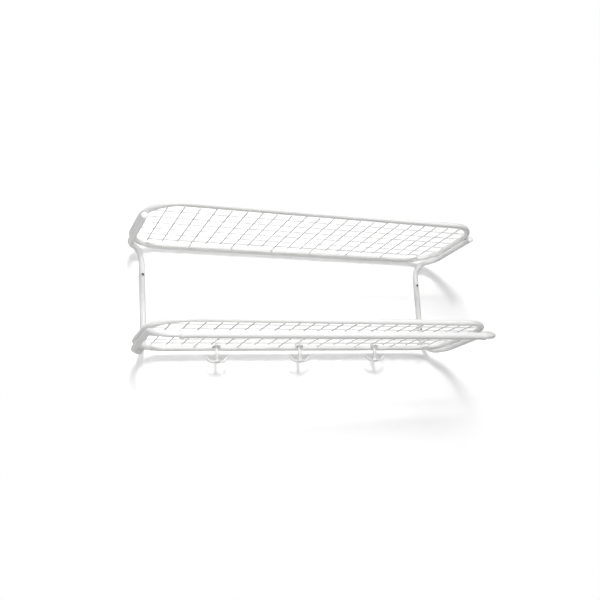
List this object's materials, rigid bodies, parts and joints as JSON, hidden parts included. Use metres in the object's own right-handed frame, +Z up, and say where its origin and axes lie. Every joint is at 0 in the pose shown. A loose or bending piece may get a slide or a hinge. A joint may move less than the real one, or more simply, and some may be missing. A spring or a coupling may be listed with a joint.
{
  "type": "wall coat rack",
  "caption": "Wall-mounted white tubular steel hat and coat rack with two tilted wire shelves, a front hanger rail and swivelling double hooks.",
  "frame": {"origin": "on the wall plane, at the centre of the rectangle of four wall-screw holes in the two posts", "axes": "+X along the wall to the right as seen from the room, -Y out of the wall into the room, +Z up"},
  "size_m": [0.796, 0.275, 0.2962],
  "materials": {
    "white_tube": "satin white lacquer on bent steel tube",
    "white_wire": "satin white lacquer on welded steel wire",
    "white_hooks": "satin white lacquer on cast metal",
    "white_screws": "white lacquered screw heads",
    "white_plastic": "smooth white moulded plastic"
  },
  "bodies": {
    "rack": {"upper_shelf_frame": "white_tube", "upper_cross_wires": "white_wire", "upper_long_wires": "white_wire", "upper_edge_wires": "white_wire", "upper_shelf_screws": "white_screws", "lower_shelf_frame": "white_tube", "lower_cross_wires": "white_wire", "lower_long_wires": "white_wire", "lower_edge_wires": "white_wire", "lower_shelf_screws": "white_screws", "left_bracket": "white_tube", "left_arm_cap": "white_plastic", "left_rail_collar": "white_plastic", "right_bracket": "white_tube", "right_arm_cap": "white_plastic", "right_rail_collar": "white_plastic", "front_rail": "white_tube", "hook_seats": "white_hooks"},
    "left_hook_swivel": {"left_hook": "white_hooks", "left_hook_nut": "white_hooks"},
    "centre_hook_swivel": {"centre_hook": "white_hooks", "centre_hook_nut": "white_hooks"},
    "right_hook_swivel": {"right_hook": "white_hooks", "right_hook_nut": "white_hooks"}
  },
  "joints": [
    {"name": "left_hook_turn", "type": "hinge", "parent": "rack", "child": "left_hook_swivel", "pos_m": [-0.2, -0.03295, -0.1026], "axis": [0, 0, 1], "continuous": true},
    {"name": "centre_hook_turn", "type": "hinge", "parent": "rack", "child": "centre_hook_swivel", "pos_m": [0, -0.03295, -0.1026], "axis": [0, 0, 1], "continuous": true},
    {"name": "right_hook_turn", "type": "hinge", "parent": "rack", "child": "right_hook_swivel", "pos_m": [0.2, -0.03295, -0.1026], "axis": [0, 0, 1], "continuous": true}
  ]
}
